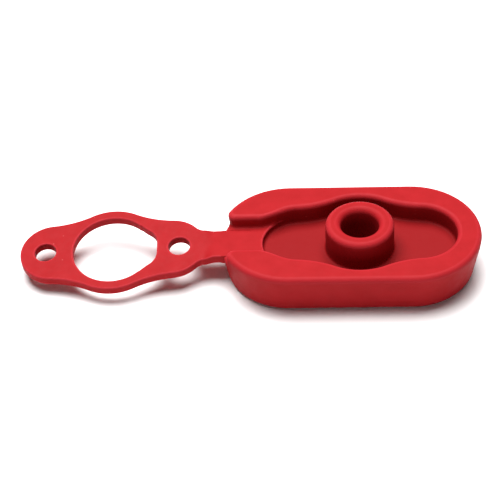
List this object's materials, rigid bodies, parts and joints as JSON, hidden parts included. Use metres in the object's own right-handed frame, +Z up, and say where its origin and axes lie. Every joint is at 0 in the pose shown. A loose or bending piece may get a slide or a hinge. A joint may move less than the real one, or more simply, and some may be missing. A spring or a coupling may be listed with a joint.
{
  "type": "charging socket dust cover",
  "caption": "Soft rubber dust cover: a lozenge-shaped cap with a hollow plug in its cavity, tied by a short folding strap to a thin mounting ring with screw eyelets and a keyed opening.",
  "frame": {"origin": "on the table under the middle of the overall length, with the cap standing on its closed face", "axes": "+X along the strap from the mounting ring to the cap, +Z up out of the cap's cavity, +Y completes a right-handed frame"},
  "size_m": [0.0902, 0.0274, 0.0115],
  "materials": {
    "silicone": "matte moulded silicone, satin on the flat faces"
  },
  "bodies": {
    "cap": {"cap_face": "silicone", "cap_rim": "silicone", "plug_boss": "silicone", "strap_root": "silicone"},
    "fold_link": {"fold_link": "silicone"},
    "neck_link_1": {"neck_link_1": "silicone"},
    "neck_link_2": {"neck_link_2": "silicone"},
    "ring": {"eyelet_inner": "silicone", "socket_band": "silicone", "eyelet_outer": "silicone"}
  },
  "joints": [
    {"name": "fold_inner", "type": "hinge", "parent": "cap", "child": "fold_link", "pos_m": [-0.00135, 0, 0.0056], "axis": [0, 1, 0], "range_deg": [0, 90], "stiffness_Nm_per_rad": 0.0035},
    {"name": "fold_outer", "type": "hinge", "parent": "fold_link", "child": "neck_link_1", "pos_m": [-0.00405, 0, 0.0056], "axis": [0, 1, 0], "range_deg": [0, 90], "stiffness_Nm_per_rad": 0.0035},
    {"name": "neck_sag", "type": "hinge", "parent": "neck_link_1", "child": "neck_link_2", "pos_m": [-0.0061, 0, 0.0056], "axis": [0, 1, 0], "range_deg": [-2.2, 2.8], "stiffness_Nm_per_rad": 0.0025, "springref_deg": 2.8},
    {"name": "neck_twist", "type": "hinge", "parent": "neck_link_2", "child": "ring", "pos_m": [-0.0079, 0, 0.00551], "axis": [-0.9988, 0, -0.0489], "range_deg": [-3, 9], "stiffness_Nm_per_rad": 0.0027}
  ]
}
